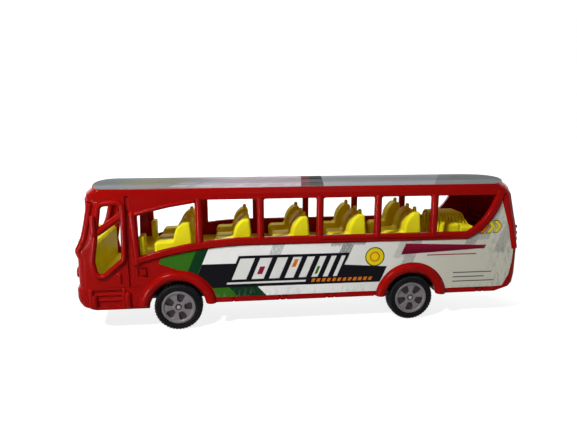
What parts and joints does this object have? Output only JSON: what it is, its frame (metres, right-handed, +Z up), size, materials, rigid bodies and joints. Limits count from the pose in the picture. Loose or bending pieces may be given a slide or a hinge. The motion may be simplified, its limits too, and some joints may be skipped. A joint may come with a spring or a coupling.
{
  "type": "toy bus",
  "caption": "Toy coach with open windows, moulded seats inside, printed side and roof films and free-rolling treaded wheels with a friction motor at the rear axle.",
  "frame": {"origin": "on the ground under the middle of the bus", "axes": "+X to the tail, -Y to the side drawn in the picture (the door side), +Z up"},
  "size_m": [0.292, 0.0684, 0.0917],
  "materials": {
    "shell_red": "glossy red moulded plastic",
    "roof_film": "grey printed film",
    "side_film": "pale printed film with plain bands",
    "interior_yellow": "yellow moulded plastic",
    "chassis_black": "satin black moulded plastic",
    "screw_steel": "zinc plated steel",
    "motor_case_plastic": "off-white moulded plastic",
    "gear_plastic": "natural white moulded plastic",
    "axle_steel": "bright drawn steel",
    "flywheel_steel": "turned steel",
    "hub_grey": "grey moulded plastic",
    "tyre_black": "black soft rubber"
  },
  "bodies": {
    "bus_body": {"body_shell": "shell_red", "roof_sticker": "roof_film", "side_sticker_near": "side_film", "side_sticker_far": "side_film", "interior_tray": "interior_yellow", "chassis": "chassis_black", "chassis_screws": "screw_steel", "motor_case_near": "motor_case_plastic", "motor_case_far": "motor_case_plastic", "motor_screws": "screw_steel"},
    "front_wheel_set": {"front_axle": "axle_steel", "front_hub_near": "hub_grey", "front_hub_far": "hub_grey", "front_tyre_near": "tyre_black", "front_tyre_far": "tyre_black"},
    "rear_wheel_set": {"rear_axle": "axle_steel", "rear_hub_near": "hub_grey", "rear_hub_far": "hub_grey", "rear_tyre_near": "tyre_black", "rear_tyre_far": "tyre_black", "axle_gear": "gear_plastic"},
    "idler_set": {"idler_shaft": "axle_steel", "idler_gear": "gear_plastic"},
    "flywheel_set": {"flywheel_shaft": "axle_steel", "flywheel": "flywheel_steel", "flywheel_pinion": "gear_plastic"}
  },
  "joints": [
    {"name": "front_wheel_spin", "type": "hinge", "parent": "bus_body", "child": "front_wheel_set", "pos_m": [-0.0821, 0, 0.015], "axis": [0, 1, 0], "continuous": true},
    {"name": "rear_wheel_spin", "type": "hinge", "parent": "bus_body", "child": "rear_wheel_set", "pos_m": [0.0688, 0, 0.015], "axis": [0, 1, 0], "continuous": true},
    {"name": "idler_spin", "type": "hinge", "parent": "bus_body", "child": "idler_set", "pos_m": [0.07826, 0, 0.01882], "axis": [0, 1, 0], "continuous": true},
    {"name": "flywheel_spin", "type": "hinge", "parent": "bus_body", "child": "flywheel_set", "pos_m": [0.08671, 0, 0.02452], "axis": [0, 1, 0], "continuous": true}
  ],
  "couplings": [
    {"joint": "idler_spin", "follows": "rear_wheel_spin", "ratio": -2.4},
    {"joint": "flywheel_spin", "follows": "rear_wheel_spin", "ratio": 5.76}
  ]
}
